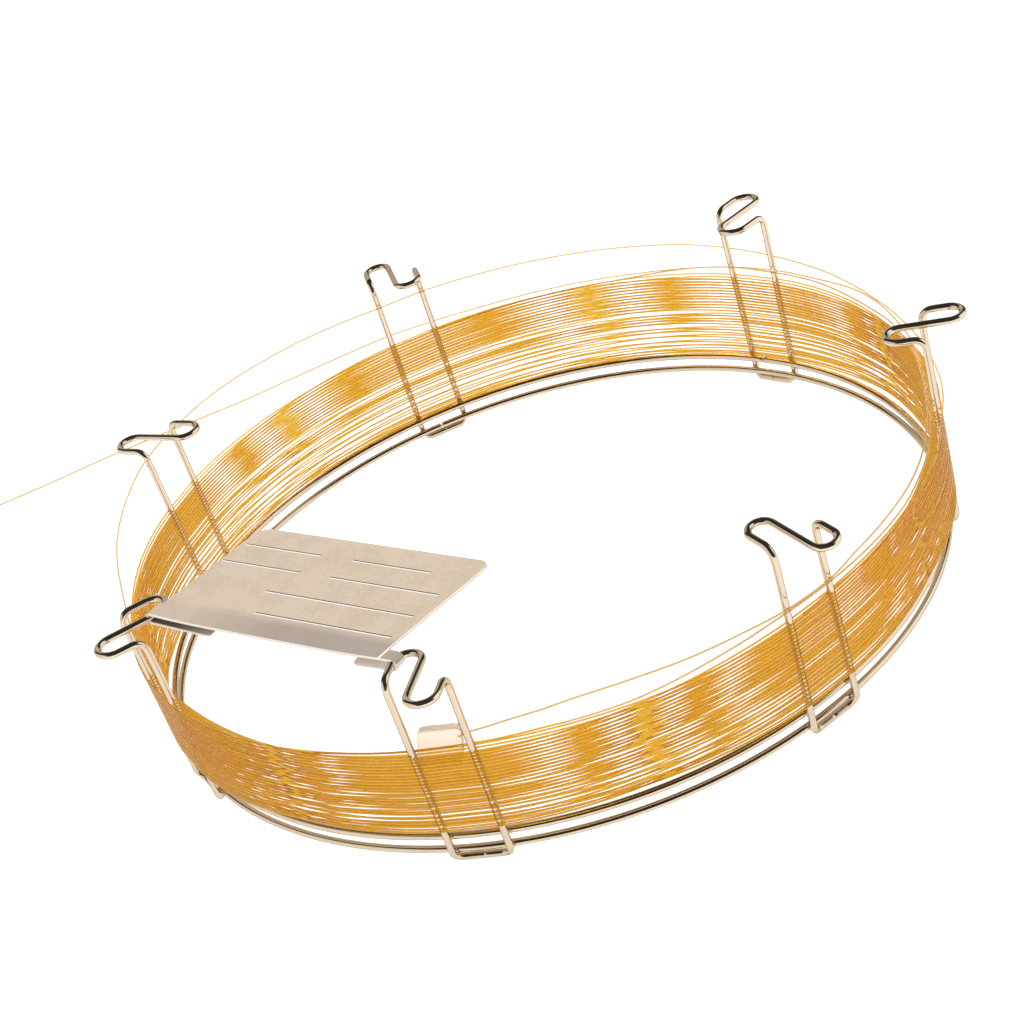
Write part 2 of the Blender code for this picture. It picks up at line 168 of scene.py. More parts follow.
# Lamps: name, place in metres, size in metres, power in watts
LAMPS = (
    ("key", (0.25, 0.8, 0.65), 0.6, 6), ("right", (0.9, 0.1, 0.6), 0.8, 2), ("front", (-0.25, -0.95, 0.6), 0.8, 4),
)
ROOM_LIGHT = 0.62  # the pale room's light from all round
FLOOR_TONE = 0.62
FLOOR_LIFT = 0.7  # light of its own that brings the floor to white before the camera, and keeps the shadow
FLOOR_IN_GLOSS = 0.5  # the same for steel and tubing that show or let through the floor
FLOOR_HALF = 3.0  # metres


# ---------------------------------------------------------------- points and surfaces


def polar(angle, radius, height):
    """Points about the cage's axis, from arrays of angles in degrees, radii and heights."""
    turn = np.radians(angle)
    return np.stack(np.broadcast_arrays(radius * np.cos(turn), radius * np.sin(turn), height), -1)


def unit(vectors):
    """The vectors' directions, with length 1."""
    return vectors / np.linalg.norm(vectors, axis=-1, keepdims=True)


def even_route(stations, step):
    """Points at even steps along a Catmull-Rom curve through the stations, which are rows of a table."""
    knots = np.asarray(stations, float)
    knots = np.vstack([2 * knots[0] - knots[1], knots, 2 * knots[-1] - knots[-2]])
    a, b, c, d = (knots[i:len(knots) - 3 + i, None] for i in range(4))
    t = np.linspace(0, 1, 25)[None, :-1, None]
    fine = 0.5 * (2 * b + (c - a) * t + (2 * a - 5 * b + 4 * c - d) * t**2 + (3 * b - 3 * c + d - a) * t**3)
    fine = np.vstack([fine.reshape(-1, knots.shape[1]), knots[-2]])
    return resample(fine, step)


def resample(points, step):
    """The same line with points at even distances, as near to the step as divides it evenly."""
    along = np.concatenate([[0], np.cumsum(np.linalg.norm(np.diff(points, axis=0), axis=1))])
    wanted = np.linspace(0, along[-1], max(2, int(round(along[-1] / step)) + 1))
    return np.stack([np.interp(wanted, along, points[:, axis]) for axis in range(points.shape[1])], -1)


def turned(angle, rows):
    """Rows of (outwards, along the circle, up) at an angle in degrees, as points from the cage's axis."""
    return rows[:, :1] * polar(angle, 1, 0) + rows[:, 1:2] * polar(angle + 90, 1, 0) + rows[:, 2:] * (0, 0, 1)


def strand_line(stations):
    """A line through stations that are given as in RISEN_TURN."""
    table = np.asarray(stations, float)
    return even_route(polar(table[:, 0], LEG_CIRCLE + table[:, 1], table[:, 2]), STRAND_STEP)


def new_mesh(name, points, faces):
    """A mesh from points in millimetres about the cage's axis."""
    mesh = bpy.data.meshes.new(name)
    mesh.from_pydata(((points + CAGE_AXIS) * MM).tolist(), [], faces)
    return mesh


def finish_piece(mesh, material, sharp=40):
    """The piece that a mesh becomes, smooth but for its edges that are sharper than the angle in degrees."""
    mesh.shade_smooth()
    mesh.set_sharp_from_angle(angle=radians(sharp))
    mesh.materials.append(material)
    piece = bpy.data.objects.new(mesh.name, mesh)
    bpy.context.scene.collection.objects.link(piece)
    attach(piece, "root")
    return piece


def mesh_piece(name, points, faces, lie, material, slot, sharp=40):
    """A piece with lie, each point's place in its own wire or block, kept as an attribute for patterns."""
    mesh = new_mesh(name, points, faces)
    kept = mesh.attributes.new("lie", "FLOAT_VECTOR", "POINT")
    kept.data.foreach_set("vector", np.asarray(lie, np.float32).ravel())
    return finish_piece(mesh, material, sharp)


def grid_faces(rows, columns, closed=True):
    """Four-sided faces of a grid of points that is numbered row by row. closed joins the ends of each row."""
    row = np.arange(rows - 1)[:, None]
    column = np.arange(columns if closed else columns - 1)[None, :]
    next_column = (column + 1) % columns
    corners = [row * columns + column, row * columns + next_column,
               (row + 1) * columns + next_column, (row + 1) * columns + column]
    return np.stack(corners, -1).reshape(-1, 4)


def tube(path, radius, sides, beside):
    """Points, faces and lie of a round bar: path(s) + radius (cos a N + sin a B) for all angles a.

    N is square to the path and nearest to beside, and B is square to both. lie is the distance along and the two
    coordinates across, so that a pattern on it has no seam. Both ends are domed.
    """
    ahead = unit(np.gradient(path, axis=0))
    beside = np.broadcast_to(np.asarray(beside, float), path.shape)
    normal = unit(beside - (beside * ahead).sum(1, keepdims=True) * ahead)
    other = np.cross(ahead, normal)
    along = np.concatenate([[0], np.cumsum(np.linalg.norm(np.diff(path, axis=0), axis=1))])
    dome, flat, tip = np.radians([90, 60, 30]), 0.6, 0.04  # the dome is flattened, and its tip is a small disc
    shrink = np.cos(dome) * (1 - tip) + tip
    radii = radius * np.concatenate([shrink, np.ones(len(path)), shrink[::-1]])
    path = np.vstack([path[0] - ahead[0] * radius * np.sin(dome)[:, None] * flat, path,
                      path[-1] + ahead[-1] * radius * np.sin(dome[::-1])[:, None] * flat])
    normal, other = (np.vstack([v[:1]] * 3 + [v] + [v[-1:]] * 3) for v in (normal, other))
    along = np.concatenate([[along[0]] * 3, along, [along[-1]] * 3])
    around = np.linspace(0, 2 * np.pi, sides, endpoint=False)
    ring = np.cos(around)[None, :, None] * normal[:, None] + np.sin(around)[None, :, None] * other[:, None]
    points = path[:, None] + ring * radii[:, None, None]
    across = np.broadcast_to(radii[:, None], (len(path), sides))
    along = np.broadcast_to(along[:, None], across.shape)
    lie = np.stack([along, across * np.cos(around), across * np.sin(around)], -1)
    faces = grid_faces(len(path), sides).tolist()
    faces += [list(range(sides))[::-1], [(len(path) - 1) * sides + side for side in range(sides)]]
    return points.reshape(-1, 3), faces, lie.reshape(-1, 3)


def several(parts):
    """Several (points, faces, lie) as one."""
    starts = np.cumsum([0] + [len(points) for points, _, _ in parts])
    faces = [[index + start for index in face] for (_, these, _), start in zip(parts, starts) for face in these]
    return np.vstack([p for p, _, _ in parts]), faces, np.vstack([lie for _, _, lie in parts])


# ---------------------------------------------------------------- materials


def srgb(text):
    """A linear colour from an sRGB hex value."""
    parts = np.array([int(text[i:i + 2], 16) for i in (1, 3, 5)]) / 255
    linear = np.where(parts <= 0.04045, parts / 12.92, ((parts + 0.055) / 1.055) ** 2.4)
    return (*linear.tolist(), 1.0)


def add(tree, kind, settings=(), values=(), links=()):
    """Adds a node: settings by property, values and links by socket, a link being (node, output)."""
    made = tree.nodes.new("ShaderNode" + kind)
    for key, value in dict(settings).items():
        setattr(made, key, value)
    for key, value in dict(values).items():
        made.inputs[key].default_value = value
    for key, (source, output) in dict(links).items():
        tree.links.new(source.outputs[output], made.inputs[key])
    return made


def ramp(tree, source, output, stops):
    """A colour ramp from (place, colour) stops."""
    made = add(tree, "ValToRGB", links={"Fac": (source, output)})
    elements = made.color_ramp.elements
    while len(elements) < len(stops):
        elements.new(0.5)
    for element, (place, colour) in zip(elements, stops):
        element.position, element.color = place, colour
    return made


def new_material(name, values):
    """An empty Principled material with the values that are the same all over it, and its tree and shader."""
    material = bpy.data.materials.new(name)
    material.use_nodes = True
    tree = material.node_tree
    shader = tree.nodes["Principled BSDF"]
    for key, value in values.items():
        shader.inputs[key].default_value = value
    return material, tree, shader


def stainless_wire():
    """Hard-drawn stainless spring wire, electropolished: fine lines lie along it, and it has a slight warm cast."""
    material, tree, shader = new_material(
        "electropolished_stainless_wire", {"Metallic": 1.0, "Specular Tint": srgb("#C2B49C")}
    )
    lie = add(tree, "Attribute", {"attribute_name": "lie"})
    # Drawing lines are a few hundredths of a millimetre wide; they are drawn 0.2 mm wide so that they show.
    stretch = add(tree, "Mapping", values={"Scale": (0.06, 2.2, 2.2)}, links={"Vector": (lie, "Vector")})
    lines = add(tree, "TexNoise", values={"Scale": 2.4, "Detail": 3.0, "Roughness": 0.6},
                links={"Vector": (stretch, 0)})
    tint = ramp(tree, lines, "Fac", ((0.3, srgb("#DCCBB2")), (0.7, srgb("#EBDBC4"))))
    tree.links.new(tint.outputs["Color"], shader.inputs["Base Color"])
    gloss = add(tree, "MapRange", values={"From Min": 0.3, "From Max": 0.7, "To Min": 0.08, "To Max": 0.18},
                links={"Value": (lines, "Fac")})
    tree.links.new(gloss.outputs["Result"], shader.inputs["Roughness"])
    bump = add(tree, "Bump", values={"Strength": 0.10, "Distance": 0.00003}, links={"Height": (lines, "Fac")})
    tree.links.new(bump.outputs["Normal"], shader.inputs["Normal"])
    return material


def coated_silica(name, tones):
    """Fused silica tubing drawn through polyimide: a clear amber coat, a little deeper in some lengths."""
    material, tree, shader = new_material(
        name, {"Roughness": 0.12, "IOR": 1.36, "Transmission Weight": 0.8, "Specular IOR Level": 0.25,
               "Specular Tint": srgb("#F0C070")}
    )
    lie = add(tree, "Attribute", {"attribute_name": "lie"})
    slow = add(tree, "Mapping", values={"Scale": (0.012, 0.0, 0.0)}, links={"Vector": (lie, "Vector")})
    tone = add(tree, "TexNoise", values={"Scale": 1.0, "Detail": 2.0}, links={"Vector": (slow, 0)})
    amber = ramp(tree, tone, "Fac", tuple(zip((0.3, 0.5, 0.7), map(srgb, tones))))
    tree.links.new(amber.outputs["Color"], shader.inputs["Base Color"])
    return material


def in_tag_directions(tree):
    """Millimetres outwards, along the circle and up, in the tag's own directions."""
    coordinates = add(tree, "TexCoord")
    values = {"Location": (CAGE_AXIS * MM).tolist(), "Rotation": (0, 0, radians(TAG_ANGLE)), "Scale": (MM, MM, MM)}
    return add(tree, "Mapping", {"vector_type": "TEXTURE"}, values, {"Vector": (coordinates, "Object")})


def math_node(tree, operation, *inputs):
    """A Math node. Each input is a number, or a link as in add."""
    links = {place: given for place, given in enumerate(inputs) if isinstance(given, tuple)}
    values = {place: given for place, given in enumerate(inputs) if place not in links}
    return add(tree, "Math", {"operation": operation}, values, links)


def smooth_step(tree, source, begins, ends, first=0.0, last=1.0):
    """A value that goes smoothly from first to last while its source goes from begins to ends."""
    values = {"From Min": begins, "From Max": ends, "To Min": first, "To Max": last}
    return add(tree, "MapRange", {"interpolation_type": "SMOOTHSTEP"}, values, {"Value": source})


def painted(tree, under, mask, colour):
    """The colour where the mask is 1, over what lies under it."""
    return add(tree, "Mix", {"data_type": "RGBA"}, {7: srgb(colour)}, {0: (mask, 0), 6: under})


def rules(tree, place, shift, half_width):
    """1 on the tag's writing rules, moved outwards by shift, and 0 elsewhere."""
    found = None
    for outwards, (start, end) in RULES:
        across = math_node(tree, "COMPARE", (place, "X"), outwards + shift, half_width)
        along = math_node(tree, "COMPARE", (place, "Y"), (start + end) / 2, (end - start) / 2)
        both = math_node(tree, "MULTIPLY", (across, 0), (along, 0))
        found = math_node(tree, "MAXIMUM", (found, 0), (both, 0)) if found else both
    return found


def tag_sheet():
    """Rolled tin-plated sheet with pressed rules: satin, with a faint grain across the rolling and a soft mottle."""
    material, tree, shader = new_material("rolled_tinplate", {"Metallic": 0.1, "Specular IOR Level": 0.25})
    mapped = in_tag_directions(tree)
    place = add(tree, "SeparateXYZ", links={0: (mapped, 0)})
    mottle = add(tree, "TexNoise", values={"Scale": 0.16, "Detail": 3.0}, links={"Vector": (mapped, 0)})
    # The rolling grain is finer than a tenth of a millimetre; it is drawn 0.3 mm wide so that it shows.
    stretch = add(tree, "Mapping", values={"Scale": (1.0, 0.05, 1.0)}, links={"Vector": (mapped, 0)})
    grain = add(tree, "TexNoise", values={"Scale": 1.6, "Detail": 3.0}, links={"Vector": (stretch, 0)})
    specks = add(tree, "TexNoise", values={"Scale": 1.3, "Detail": 4.0, "Roughness": 0.7},
                 links={"Vector": (mapped, 0)})
    both = math_node(tree, "ADD", (mottle, "Fac"), (specks, "Fac"))
    plain = ramp(tree, both, "Value", ((0.7, srgb("#D0BDA5")), (1.0, srgb("#D6C3AC")), (1.3, srgb("#DAC8B2"))))
    # The strip outside the last rule was bent down, and is painted darker as painted shade from the bend, more so
    # towards one end.
    last_rule = RULES[-1][0]
    strip = smooth_step(tree, (place, "X"), last_rule - 0.4, last_rule + 2.6, last=0.75)
    strip_shade_strength = smooth_step(tree, (place, "Y"), -28.0, 4.0, first=0.25)
    painted_strip_shade = painted(tree, (plain, "Color"), math_node(tree, "MULTIPLY", (strip, 0), (strip_shade_strength, 0)), "#A99B93")
    # Each rule is painted: a dark line of painted shade where its groove lies, and a painted highlight on the lip
    # outside of it.
    painted_lip_highlight = painted(tree, (painted_strip_shade, 2), rules(tree, place, 0.28, 0.14), "#FFFBF2")
    painted_groove_shade = painted(tree, (painted_lip_highlight, 2), rules(tree, place, 0.0, 0.12), "#5A4A3E")
    # Painted highlights: the cut edges and the right tab's return are painted near white, for the light they reflect.
    outer = math_node(tree, "GREATER_THAN", (place, "X"), TAG_OUTER - EDGE_HIGHLIGHT_WIDTH)
    along, outwards, slant = TAG_RIGHT
    upright = math_node(tree, "MULTIPLY_ADD", (place, "X"), -slant, (place, "Y"))
    right = math_node(tree, "COMPARE", (upright, 0), along - slant * outwards, 0.3)
    edges = math_node(tree, "MAXIMUM", (outer, 0), (right, 0))
    low = math_node(tree, "LESS_THAN", (place, "Z"), TAG_TOP - BELOW_SHEET)
    right_half = math_node(tree, "GREATER_THAN", (place, "Y"), 10.0)
    tab = math_node(tree, "MULTIPLY", (low, 0), (right_half, 0))
    edges = math_node(tree, "MAXIMUM", (edges, 0), (tab, 0))
    bare = painted(tree, (painted_groove_shade, 2), edges, "#FFF7EC")
    # Painted shade: the inside of the fold round the left hook is painted dark, for the shade it lies in.
    left = smooth_step(tree, (place, "Y"), -17.0, -30.0, last=0.85)
    inside = math_node(tree, "MULTIPLY", (low, 0), (left, 0))
    not_outer = math_node(tree, "LESS_THAN", (place, "X"), TAG_OUTER - EDGE_HIGHLIGHT_WIDTH)
    inside = math_node(tree, "MULTIPLY", (inside, 0), (not_outer, 0))
    finished = painted(tree, (bare, 2), inside, "#4E433B")
    tree.links.new(finished.outputs[2], shader.inputs["Base Color"])
    gloss = add(tree, "MapRange", values={"From Min": 0.3, "From Max": 0.7, "To Min": 0.42, "To Max": 0.54},
                links={"Value": (mottle, "Fac")})
    tree.links.new(gloss.outputs["Result"], shader.inputs["Roughness"])
    bump = add(tree, "Bump", values={"Strength": 0.06, "Distance": 0.00005}, links={"Height": (grain, "Fac")})
    tree.links.new(bump.outputs["Normal"], shader.inputs["Normal"])
    return material


def silicone():
    """Moulded silicone rubber, translucent and pale: light goes a little way into it."""
    material, tree, shader = new_material(
        "moulded_silicone_rubber",
        {"Roughness": 0.3, "IOR": 1.41, "Transmission Weight": 0.94, "Subsurface Weight": 0.5,
         "Subsurface Scale": 0.002, "Subsurface Radius": (1.0, 0.7, 0.5)},
    )
    place = add(tree, "TexCoord")
    height = add(tree, "SeparateXYZ", links={0: (place, "Object")})
    low, high = ((SEAL_MIDDLE[2] + side * SEAL_HALF[2]) * MM for side in (-1, 1))
    share = add(tree, "MapRange", values={"From Min": low, "From Max": high}, links={"Value": (height, "Z")})
    tone = ramp(tree, share, "Result", ((0.0, srgb("#FDE6C6")), (0.45, srgb("#FFF0DA")), (1.0, srgb("#FFF8EC"))))
    tree.links.new(tone.outputs["Color"], shader.inputs["Base Color"])
    specks = add(tree, "TexNoise", values={"Scale": 2500.0, "Detail": 2.0}, links={"Vector": (place, "Object")})
    bump = add(tree, "Bump", values={"Strength": 0.08, "Distance": 0.00005}, links={"Height": (specks, "Fac")})
    tree.links.new(bump.outputs["Normal"], shader.inputs["Normal"])
    return material


# ---------------------------------------------------------------- cage


def bend_angles():
    """Angles of a quarter bend, in eight steps."""
    return np.linspace(0, np.pi / 2, 9)


def clip_line(height, reach_in, reach_out, rise, turn, half):
    """A clip's wire as rows of (outwards from the leg circle, along it, up), from one foot's end to the other's.

    Foot, quarter bend, leg, quarter bend, straight, half circle, straight through the middle, half circle, and back.
    Near the hook the rows are turned about the clip's upright axis, and raised in proportion to how far out they lie.
    """
    loop = half / 2

    def side(reach):
        bend = bend_angles()
        low = np.stack([-FOOT_INSET * np.cos(bend) ** 2, -LEG_SPACING / 2 + WIRE_BEND * (1 - np.sin(bend)),
                        FOOT_HEIGHT + WIRE_BEND * (1 - np.cos(bend))], -1)
        foot = np.vstack([[-FOOT_INSET, -FOOT_GAP / 2, FOOT_HEIGHT], low])
        top = np.stack([WIRE_BEND * (np.cos(bend) - 1), np.full(len(bend), -half),
                        height + WIRE_BEND * (np.sin(bend) - 1)], -1)
        bend = np.linspace(0, np.pi, 25)
        hook = np.stack([-reach - loop * np.sin(bend), -loop * (1 + np.cos(bend)), np.full(len(bend), height)], -1)
        return foot, np.vstack([top, hook])

    foot, first = side(reach_in)
    _, second = side(reach_out)
    second = second[::-1] * (-1, -1, 1)
    other_foot = foot[::-1] * (1, -1, 1)
    rows = resample(np.vstack([foot, first, second, other_foot]), 0.5)
    share = np.clip((rows[:, 2] - height) / HOOK_REGION + 1, 0, 1)
    angle = np.radians(turn) * share
    out, along = rows[:, 0], rows[:, 1]
    return np.stack([out * np.cos(angle) - along * np.sin(angle), out * np.sin(angle) + along * np.cos(angle),
                     rows[:, 2] + rise * out * share], -1)


def clip_points(angle, rows):
    """Rows given in a clip's own directions, as points about the cage's axis."""
    return turned(angle, rows + (LEG_CIRCLE, 0, 0))


def blob(middle, half, angle, power, rows, columns):
    """A rounded block as points, faces and lie, which is each point's place before the block is turned and moved.

    It is half times the sines and cosines of two angles, raised to power with their signs kept. A power of 1 gives an
    ellipsoid, and less gives flatter sides. The block is turned to the angle about the cage's axis.
    """
    def raised(value):
        return np.sign(value) * np.abs(value) ** power

    up = np.linspace(-np.pi / 2, np.pi / 2, rows)[1:-1, None]
    round_it = np.linspace(0, 2 * np.pi, columns, endpoint=False)[None, :]
    out, level = raised(np.cos(up)), raised(np.sin(up)) + 0 * round_it
    grid = np.stack([out * raised(np.cos(round_it)), out * raised(np.sin(round_it)), level], -1)
    points = np.vstack([grid.reshape(-1, 3), [[0, 0, -1], [0, 0, 1]]]) * half
    faces = grid_faces(rows - 2, columns).tolist()
    bottom, top, last = len(points) - 2, len(points) - 1, (rows - 3) * columns
    faces += [[bottom, (i + 1) % columns, i] for i in range(columns)]
    faces += [[top, last + i, last + (i + 1) % columns] for i in range(columns)]
    return turned(angle, points) + middle, faces, points


def make_cage(steel):
    """The seven clips, the two hoops and the beads that weld each leg to both hoops."""
    beads = []
    for number, (angle, *shape) in enumerate(CLIPS, 1):
        path = clip_points(angle, clip_line(*shape))
        beside = polar(angle, 1, 0) + polar(angle + 90, 1, 0) + (0, 0, 1)
        piece = mesh_piece(f"clip_wire_{number}", *tube(path, WIRE / 2, WIRE_SIDES, beside), steel, "steel")
        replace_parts(piece, f"clip_{number}")
        for side in (-1, 1):
            for height, _ in (LOWER_HOOP, UPPER_HOOP):
                spot = clip_points(angle, np.array([[-WELD_INSET, side * LEG_SPACING / 2, height]]))[0]
                beads.append(blob(spot, WELD_BEAD, angle, power=0.8, rows=8, columns=10))
    mesh_piece("weld_beads", *several(beads), steel, "steel")
    for name, node, (height, gap) in (("lower_hoop_wire", "lower_hoop", LOWER_HOOP),
                                      ("upper_hoop_wire", "upper_hoop", UPPER_HOOP)):
        half_gap = np.degrees(HOOP_GAP / HOOP_RADIUS) / 2
        path = polar(np.linspace(gap + half_gap, gap + 360 - half_gap, 361), HOOP_RADIUS, height)
        piece = mesh_piece(name, *tube(path, WIRE / 2, WIRE_SIDES, (0, 0, 1)), steel, "steel")
        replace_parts(piece, node)


# ---------------------------------------------------------------- tubing


def smooth(share):
    """A smooth step from 0 to 1 while share goes from 0 to 1."""
    share = np.clip(share, 0, 1)
    return share * share * (3 - 2 * share)


def turn_heights():
    """Each turn's height at the front, and how far it hangs down at the back. Bunched turns lie closer together."""
    rises = np.concatenate([[BUNCH_RISE] * (count - 1) + [BUNCH_RISE + BUNCH_GAP] for count, _ in BUNCHES])
    hangs = np.concatenate([[hang] * count for count, hang in BUNCHES])
    rest = TURNS + 2 - len(hangs)
    heights = LOWEST_TURN + np.cumsum(np.concatenate([[0], rises, np.full(rest - 1, TURN_RISE)]))
    return heights, np.append(hangs, [0] * rest)


def at_back(angle):
    """0 at the front of the cage and 1 at its back, with smooth steps between."""
    begins, down, ends, over = BACK
    angle = (angle - begins) % 360 + begins
    return smooth((angle - begins) / (down - begins)) * (1 - smooth((angle - ends) / (over - ends)))


def woven_line(random):
    """The wound tubing as one line, from its lowest turn at the back to its highest at the front.

    It passes outside one clip and inside the next. Between them its distance from the leg circle follows half a sine
    wave. Its height runs from that at which it crosses one clip to that at the next, and sags between them by half a
    sine wave too, where the turns hang lower than the hoop lets them lie inside a clip.
    """
    angles = np.array([clip[0] for clip in CLIPS])
    half = np.degrees(LEG_SPACING / 2 / LEG_CIRCLE)
    heights, hangs = turn_heights()
    crossings = np.arange(TURNS * len(angles) + 1)
    at = angles[crossings % len(angles)] + 360 * (crossings // len(angles))
    turn = (at - angles[0]) / 360
    wanted, hang = (np.interp(turn, np.arange(len(values)), values) for values in (heights, hangs))
    wanted = wanted - hang * at_back(at)
    side = np.where(crossings % 2 == 0, 1.0, -1.0)
    scatter = np.interp(turn, *UNEVEN)
    level = np.maximum(wanted, np.where(side < 0, ABOVE_HOOP, 0)) + random.normal(0, 1, len(at)) * scatter
    share = np.linspace(0, 1, WEAVE_STEPS)[None, :]
    between = at[:-1, None] + half + (np.diff(at) - 2 * half)[:, None] * share
    sag = (wanted - level)[:-1] / 2 + (wanted - level)[1:] / 2 + random.normal(0, 1, len(at) - 1) * scatter[1:]
    bow = random.normal(0, WEAVE_SCATTER, len(at) - 1)
    swing = WEAVE * side[:-1, None] * np.cos(np.pi * share) + bow[:, None] * np.sin(np.pi * share)
    up = level[:-1, None] + np.diff(level)[:, None] * share + sag[:, None] * np.sin(np.pi * share)
    kept = slice(3, len(at) - 3)  # from the fourth clip in the lowest turn to the sixth in the highest
    angle, swing, up = (values[kept].ravel() for values in (between, swing, up))
    return polar(angle, LEG_CIRCLE + swing, up)


def make_tubing(silica, single, random):
    """The woven turns with the tails of the loose strands as one piece, and the three loose strands as pieces of
    their own.
    """
    lines = [woven_line(random)] + [strand_line(stations) for stations in TAILS]
    parts = [tube(line, WOUND / 2, WOUND_SIDES, (0, 0, 1)) for line in lines]
    piece = mesh_piece("woven_turns", *several(parts), silica, "coating", 80)
    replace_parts(piece, "inner_layer", "outer_layer")
    ends = (("risen_strand", "risen_turn", RISEN_TURN, "object"), ("free_strand", "free_end", FREE_END, "bare"),
            ("sealed_strand", "sealed_end", SEALED_END, "object"))
    for name, node, stations, far_end in ends:
        path = strand_line(stations)
        piece = mesh_piece(name, *tube(path, TUBING / 2, TUBING_SIDES, (0, 0, 1)), single, "coating", 80)
        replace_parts(piece, node)


# ---------------------------------------------------------------- tag and seal


def tag_points(along, outwards, up):
    """Points given in the tag's own directions, about the cage's axis."""
    flat = outwards[..., None] * polar(TAG_ANGLE, 1, 0) + along[..., None] * polar(TAG_ANGLE + 90, 1, 0)
    return flat + up[..., None] * np.array([0, 0, 1.0])


def tag_ends(outwards):
    """Where the tag ends on both sides at a distance outwards: straight tapering sides, and rounded inner corners."""
    depth = np.clip(TAG_CORNER - (outwards - TAG_INNER), 0, TAG_CORNER)
    corner = TAG_CORNER - np.sqrt(TAG_CORNER**2 - depth**2)
    left, right = (along + slant * (outwards - start) for along, start, slant in (TAG_LEFT, TAG_RIGHT))
    return left + corner, right - corner


def tag_level(along, outwards):
    """Height of the sheet's middle: level, but its outer strip sags between the two hooks."""
    strip = np.clip((outwards - RULES[-1][0]) / (TAG_OUTER - RULES[-1][0]), 0, 1)
    between = np.clip(1 - ((along - TAG_SAG_MIDDLE) / TAG_SAG_HALF) ** 4, 0, 1)
    return TAG_TOP - TAG_SHEET / 2 - TAG_SAG * strip**1.2 * between


def tab_points(side, fold, tab, starts, outwards):
    """A tab as rows of points: straight on to its fold, half a circle round the hook, and back under it.

    The way back is shorter in the outer rows, so that the tab has round corners.
    """
    low, high, back = tab
    held = (outwards >= low - 0.01) & (outwards <= high + 0.01)
    rows, start = outwards[held], starts[held]
    edge = np.abs(rows - (low + high) / 2) / ((high - low) / 2)
    shorter = TAB_ROUNDING * (1 - np.sqrt(1 - 0.98 * edge**6))
    bend, share = np.linspace(0, np.pi, 13), np.linspace(0, 1, 10)[1:]
    straight = start[:, None] + (fold - start)[:, None] * np.linspace(0, 1, 4)[None, :-1]
    returned = fold - side * (back - shorter)[:, None] * share[None, :]
    across = np.hstack([straight, fold + side * TAG_BEND * np.sin(bend)[None, :] + 0 * rows[:, None], returned])
    drop = np.concatenate([np.zeros(3), TAG_BEND * (1 - np.cos(bend)), 2 * TAG_BEND + TAB_SLOPE * share * back])
    return tag_points(across, rows[:, None] + 0 * across, tag_level(start, rows)[:, None] - drop)


def make_tag(sheet):
    """The tag as a grid of (outwards, along), with a tab at each end that goes on round half a circle and back."""
    corner = TAG_INNER + TAG_CORNER * (1 - np.cos(bend_angles()))
    tab_rows = np.linspace(TAG_TABS[0][0], TAG_OUTER, 9)
    plain_rows = np.arange(corner[-1] + 1.5, tab_rows[0] - 0.5, 1.5)
    outwards = np.concatenate([corner, plain_rows, tab_rows, [TAG_TABS[1][0]]])
    outwards = np.unique(np.round(outwards, 3))
    starts, ends = tag_ends(outwards)
    along = starts[:, None] + (ends - starts)[:, None] * np.linspace(0, 1, 41)
    grids = [tag_points(along, outwards[:, None] + 0 * along, tag_level(along, outwards[:, None]))]
    for side, fold, tab, edge in zip((-1, 1), TAG_FOLDS, TAG_TABS, (starts, ends)):
        grids.append(tab_points(side, fold, tab, edge, outwards))
    parts = []
    for grid, order in zip(grids, (1, -1, 1)):  # the left tab runs the other way, so its faces do too
        faces = grid_faces(*grid.shape[:2], closed=False)[:, ::order]
        parts.append((grid.reshape(-1, 3), faces.tolist(), grid.reshape(-1, 3)))
    points, faces, _ = several(parts)
    mesh = new_mesh("folded_tag", points, faces)
    shape = bmesh.new()
    shape.from_mesh(mesh)
    bmesh.ops.remove_doubles(shape, verts=shape.verts, dist=1e-6)
    bmesh.ops.recalc_face_normals(shape, faces=shape.faces)
    bmesh.ops.solidify(shape, geom=shape.faces, thickness=TAG_SHEET * MM)
    bmesh.ops.recalc_face_normals(shape, faces=shape.faces)
    # solidify leaves the edge's faces in any order, so all faces are sorted by how far they lie in a slanting direction.
    shape.faces.sort(key=lambda face: face.calc_center_median().dot((1.0, 0.37, 0.11)))
    shape.to_mesh(mesh)
    shape.free()
    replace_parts(finish_piece(mesh, sheet), "tag")


def make_seal(rubber):
    """The rounded block the sealed end is pushed into. It leans along the circle, and rises a little to one side."""
    points, faces, lie = blob((0, 0, 0), SEAL_HALF, 0, SEAL_POWER, rows=40, columns=48)
    lean, rise = SEAL_LEAN
    points = points + np.stack([0 * points[:, 0], lean * points[:, 2], rise * points[:, 1]], -1) + SEAL_MIDDLE
    piece = mesh_piece("end_seal_block", turned(SEAL_ANGLE, points), faces, lie, rubber, "rubber")
    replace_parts(piece, "end_seal")


# ---------------------------------------------------------------- camera, light and floor


